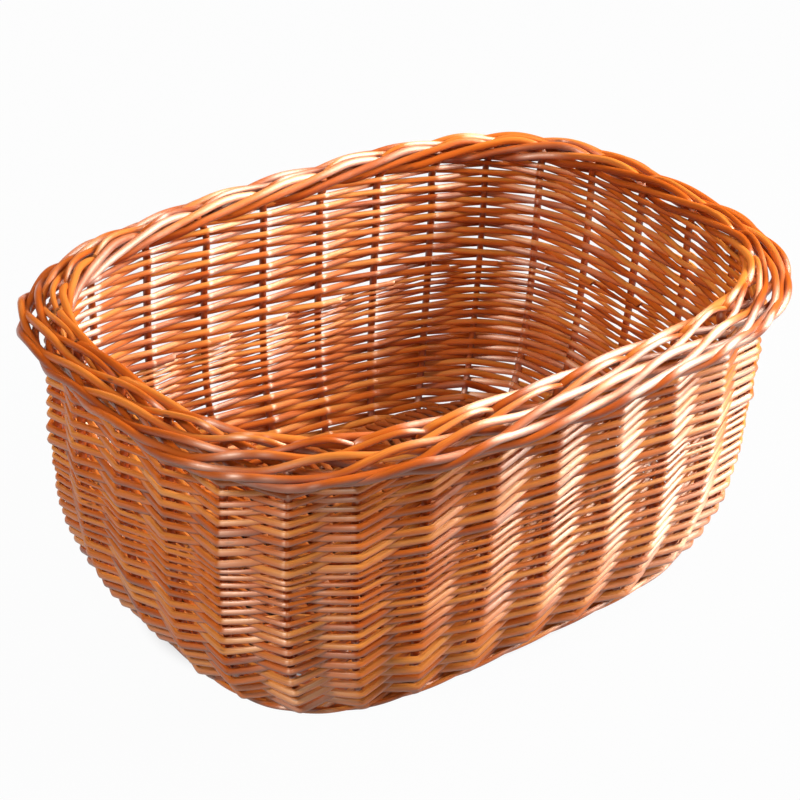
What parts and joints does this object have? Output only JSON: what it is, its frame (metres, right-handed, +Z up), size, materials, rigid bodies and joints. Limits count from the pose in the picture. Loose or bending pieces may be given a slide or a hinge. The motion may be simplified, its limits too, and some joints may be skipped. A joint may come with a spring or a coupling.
{
  "type": "wicker basket",
  "caption": "Open rounded rectangular willow basket with bowed foot, woven walls and a rolled border, for carrying things on a bicycle.",
  "frame": {"origin": "middle of the underside, on the surface that the basket stands on", "axes": "+X along the length, +Y across the width, +Z up through the open top"},
  "size_m": [0.4486, 0.3237, 0.1935],
  "materials": {
    "stake_willow": "peeled willow rods with a clear glossy varnish, honey orange",
    "weaver_willow": "thin peeled willow rods with a clear glossy varnish, honey orange with paler and redder rods",
    "base_willow": "thick willow rods with a clear varnish, darker brown"
  },
  "bodies": {
    "root": {"stake_01": "stake_willow", "stake_02": "stake_willow", "stake_03": "stake_willow", "stake_04": "stake_willow", "stake_05": "stake_willow", "stake_06": "stake_willow", "stake_07": "stake_willow", "stake_08": "stake_willow", "stake_09": "stake_willow", "stake_10": "stake_willow", "stake_11": "stake_willow", "stake_12": "stake_willow", "stake_13": "stake_willow", "stake_14": "stake_willow", "stake_15": "stake_willow", "stake_16": "stake_willow", "stake_17": "stake_willow", "stake_18": "stake_willow", "stake_19": "stake_willow", "stake_20": "stake_willow", "stake_21": "stake_willow", "stake_22": "stake_willow", "stake_23": "stake_willow", "stake_24": "stake_willow", "stake_25": "stake_willow", "stake_26": "stake_willow", "stake_27": "stake_willow", "stake_28": "stake_willow", "stake_29": "stake_willow", "lower_weaver_01": "weaver_willow", "lower_weaver_02": "weaver_willow", "lower_weaver_03": "weaver_willow", "lower_weaver_04": "weaver_willow", "lower_weaver_05": "weaver_willow", "lower_weaver_06": "weaver_willow", "lower_weaver_07": "weaver_willow", "lower_weaver_08": "weaver_willow", "lower_weaver_09": "weaver_willow", "lower_weaver_10": "weaver_willow", "lower_weaver_11": "weaver_willow", "upper_weaver_01": "weaver_willow", "upper_weaver_02": "weaver_willow", "upper_weaver_03": "weaver_willow", "upper_weaver_04": "weaver_willow", "upper_weaver_05": "weaver_willow", "upper_weaver_06": "weaver_willow", "upper_weaver_07": "weaver_willow", "upper_weaver_08": "weaver_willow", "upper_weaver_09": "weaver_willow", "upper_weaver_10": "weaver_willow", "upper_weaver_11": "weaver_willow", "base_hoop": "base_willow", "base_stick_01": "base_willow", "base_stick_02": "base_willow", "base_stick_03": "base_willow", "base_stick_04": "base_willow", "base_stick_05": "base_willow", "base_stick_06": "base_willow", "base_stick_07": "base_willow", "base_weaver": "base_willow"}
  },
  "joints": []
}
